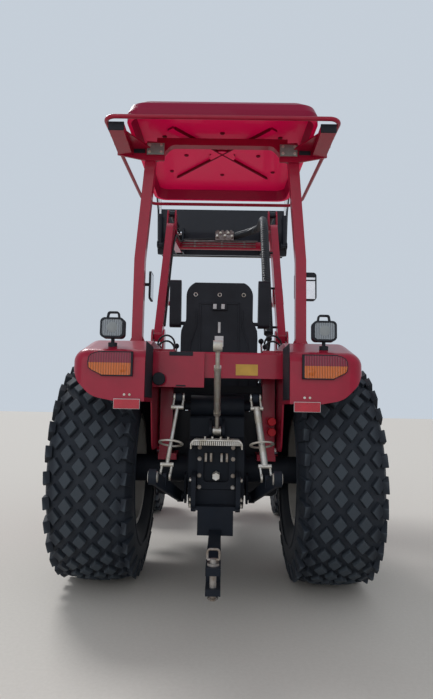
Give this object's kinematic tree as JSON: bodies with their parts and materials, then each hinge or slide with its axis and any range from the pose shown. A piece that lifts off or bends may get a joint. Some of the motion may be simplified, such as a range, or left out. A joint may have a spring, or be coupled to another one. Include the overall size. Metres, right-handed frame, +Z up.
{
  "type": "compact utility tractor with front loader",
  "caption": "Compact farm tractor with a two-post canopy, front loader with an opening bucket, block-tread tyres and a rear three-point hitch.",
  "frame": {"origin": "on the floor, below the middle of the whole tractor with its loader", "axes": "+Y forwards, +X to the tractor's right, +Z up"},
  "size_m": [1.7, 4.6602, 3.4559],
  "materials": {
    "red_paint": "glossy crimson paint",
    "black_paint": "satin black paint",
    "case_paint": "dark blue-black casting paint",
    "rim_paint": "pale grey wheel paint",
    "black_plastic": "moulded black plastic",
    "seat_vinyl": "black vinyl",
    "chrome": "polished hard chrome",
    "zinc_steel": "zinc plated steel",
    "tyre": "black tyre rubber",
    "rubber": "black hose rubber",
    "lens_red": "ribbed red lens",
    "lens_amber": "ribbed amber lens",
    "clear_lens": "clear lamp lens"
  },
  "bodies": {
    "chassis": {"gear_case": "case_paint", "engine": "case_paint", "front_frame": "red_paint", "front_axle": "red_paint", "dash_cowl": "black_plastic", "floor": "black_paint", "fender_left": "red_paint", "fender_right": "red_paint", "rear_panel": "red_paint", "seat_frame": "black_plastic", "seat_cushions": "seat_vinyl", "rops_posts": "red_paint", "rops_base": "red_paint", "rops_beam": "red_paint", "canopy_frame": "red_paint", "canopy_roof": "red_paint", "lens_red": "lens_red", "lens_amber": "lens_amber", "work_lamps": "black_plastic", "lamp_glass": "clear_lens", "mirrors": "black_plastic", "levers": "black_plastic", "loader_masts": "red_paint", "link_pins": "case_paint", "hitch_frame": "case_paint", "drawbar_pin": "chrome", "pto_shield": "zinc_steel", "fuel_tank": "black_paint"},
    "hood": {"hood": "red_paint", "grille": "black_plastic", "headlamps": "clear_lens"},
    "steering_wheel": {"steering_wheel": "black_plastic"},
    "steering_rod": {"steering_rod": "red_paint"},
    "knuckle_left": {"knuckle_left": "red_paint"},
    "knuckle_right": {"knuckle_right": "red_paint"},
    "boom": {"boom_arms": "red_paint", "boom_tube": "red_paint", "boom_valve": "zinc_steel", "boom_hoses": "rubber"},
    "bucket": {"bucket": "black_paint"},
    "clam": {"clam": "black_paint"},
    "lift_arms": {"lift_arms": "case_paint"},
    "lift_links": {"lift_links": "zinc_steel"},
    "lower_links": {"lower_links": "case_paint"},
    "top_link": {"top_link": "zinc_steel"},
    "pto_shaft": {"pto_shaft": "zinc_steel"},
    "lift_barrels": {"lift_barrels": "black_paint"},
    "lift_rods": {"lift_rods": "chrome"},
    "tilt_barrels": {"tilt_barrels": "black_paint"},
    "tilt_rods": {"tilt_rods": "chrome"},
    "clam_barrels": {"clam_barrels": "black_paint"},
    "clam_rods": {"clam_rods": "chrome"},
    "wheel_rear_left": {"tyre_rear_left": "tyre", "rim_rear_left": "rim_paint"},
    "wheel_rear_right": {"tyre_rear_right": "tyre", "rim_rear_right": "rim_paint"},
    "wheel_front_left": {"tyre_front_left": "tyre", "rim_front_left": "rim_paint"},
    "wheel_front_right": {"tyre_front_right": "tyre", "rim_front_right": "rim_paint"}
  },
  "joints": [
    {"name": "wheel_rear_left_spin", "type": "hinge", "parent": "chassis", "child": "wheel_rear_left", "pos_m": [-0.63, -1.28014, 0.61764], "axis": [1, 0, 0], "continuous": true},
    {"name": "wheel_rear_right_spin", "type": "hinge", "parent": "chassis", "child": "wheel_rear_right", "pos_m": [0.63, -1.28014, 0.61764], "axis": [1, 0, 0], "continuous": true},
    {"name": "steer", "type": "hinge", "parent": "chassis", "child": "knuckle_left", "pos_m": [-0.5, 0.61986, 0.40844], "axis": [0, 0, 1], "range_deg": [-38, 38]},
    {"name": "steer_right", "type": "hinge", "parent": "chassis", "child": "knuckle_right", "pos_m": [0.5, 0.61986, 0.40844], "axis": [0, 0, 1], "range_deg": [-38, 38]},
    {"name": "wheel_front_left_spin", "type": "hinge", "parent": "knuckle_left", "child": "wheel_front_left", "pos_m": [-0.65, 0.61986, 0.40844], "axis": [1, 0, 0], "continuous": true},
    {"name": "wheel_front_right_spin", "type": "hinge", "parent": "knuckle_right", "child": "wheel_front_right", "pos_m": [0.65, 0.61986, 0.40844], "axis": [1, 0, 0], "continuous": true},
    {"name": "tie_rod_slide", "type": "slide", "parent": "chassis", "child": "steering_rod", "axis": [1, 0, 0], "range_m": [-0.105, 0.105]},
    {"name": "steering_wheel_turn", "type": "hinge", "parent": "chassis", "child": "steering_wheel", "pos_m": [0, -0.40014, 1.4], "axis": [0, -0.766, 0.6428], "range_deg": [-500, 500]},
    {"name": "hood_open", "type": "hinge", "parent": "chassis", "child": "hood", "pos_m": [0, -0.11214, 1.384], "axis": [1, 0, 0], "range_deg": [0, 55]},
    {"name": "boom_lift", "type": "hinge", "parent": "chassis", "child": "boom", "pos_m": [0, -0.21014, 1.54], "axis": [1, 0, 0], "range_deg": [-78, 0]},
    {"name": "lift_barrel_pivot", "type": "hinge", "parent": "chassis", "child": "lift_barrels", "pos_m": [0, -0.33714, 0.933], "axis": [1, 0, 0], "range_deg": [-33.34, 0]},
    {"name": "lift_rod_slide", "type": "slide", "parent": "lift_barrels", "child": "lift_rods", "axis": [0, 0.4537, 0.8911], "range_m": [-0.39179, 0]},
    {"name": "bucket_tilt", "type": "hinge", "parent": "boom", "child": "bucket", "pos_m": [0, 1.46986, 2.8], "axis": [-1, 0, 0], "range_deg": [-65, 55]},
    {"name": "tilt_barrel_pivot", "type": "hinge", "parent": "boom", "child": "tilt_barrels", "pos_m": [0, 0.61986, 2.89], "axis": [1, 0, 0], "range_deg": [-2.29, 2.62]},
    {"name": "tilt_rod_slide", "type": "slide", "parent": "tilt_barrels", "child": "tilt_rods", "axis": [0, 0.9932, 0.1164], "range_m": [-0.2028, 0.17191]},
    {"name": "clam_open", "type": "hinge", "parent": "bucket", "child": "clam", "pos_m": [0, 1.60712, 3.2923], "axis": [1, 0, 0], "range_deg": [0, 50]},
    {"name": "clam_barrel_pivot", "type": "hinge", "parent": "bucket", "child": "clam_barrels", "pos_m": [0, 1.58732, 2.88324], "axis": [1, 0, 0], "range_deg": [0, 13.36]},
    {"name": "clam_rod_slide", "type": "slide", "parent": "clam_barrels", "child": "clam_rods", "axis": [0, -0.2329, 0.9725], "range_m": [-0.13198, 0]},
    {"name": "hitch_lift", "type": "hinge", "parent": "chassis", "child": "lift_arms", "pos_m": [0, -1.43014, 0.985], "axis": [-1, 0, 0], "range_deg": [-42, 8]},
    {"name": "lower_link_pivot", "type": "hinge", "parent": "chassis", "child": "lower_links", "pos_m": [0, -1.34014, 0.462], "axis": [-1, 0, 0], "range_deg": [-17.42, 3.72]},
    {"name": "lift_link_pivot", "type": "hinge", "parent": "lift_arms", "child": "lift_links", "pos_m": [0, -1.68014, 1.03], "axis": [1, 0, 0], "range_deg": [-50.61, 10.04]},
    {"name": "top_link_fold", "type": "hinge", "parent": "chassis", "child": "top_link", "pos_m": [0, -1.54514, 0.85], "axis": [1, 0, 0], "range_deg": [0, 45]},
    {"name": "pto_spin", "type": "hinge", "parent": "chassis", "child": "pto_shaft", "pos_m": [0, -1.58014, 0.62], "axis": [0, 1, 0], "continuous": true}
  ],
  "couplings": [
    {"joint": "steer_right", "follows": "steer", "ratio": 1},
    {"joint": "tie_rod_slide", "follows": "steer", "m_per_rad": 0.15},
    {"joint": "steering_wheel_turn", "follows": "steer", "ratio": 12},
    {"joint": "lift_barrel_pivot", "follows": "boom_lift", "ratio": 0.421},
    {"joint": "lift_rod_slide", "follows": "boom_lift", "m_per_rad": 0.28632},
    {"joint": "tilt_barrel_pivot", "follows": "bucket_tilt", "ratio": -0.032545},
    {"joint": "tilt_rod_slide", "follows": "bucket_tilt", "m_per_rad": 0.177},
    {"joint": "clam_barrel_pivot", "follows": "clam_open", "ratio": 0.2572},
    {"joint": "clam_rod_slide", "follows": "clam_open", "m_per_rad": -0.14895},
    {"joint": "lower_link_pivot", "follows": "hitch_lift", "ratio": 0.40285},
    {"joint": "lift_link_pivot", "follows": "hitch_lift", "ratio": 1.1932}
  ]
}
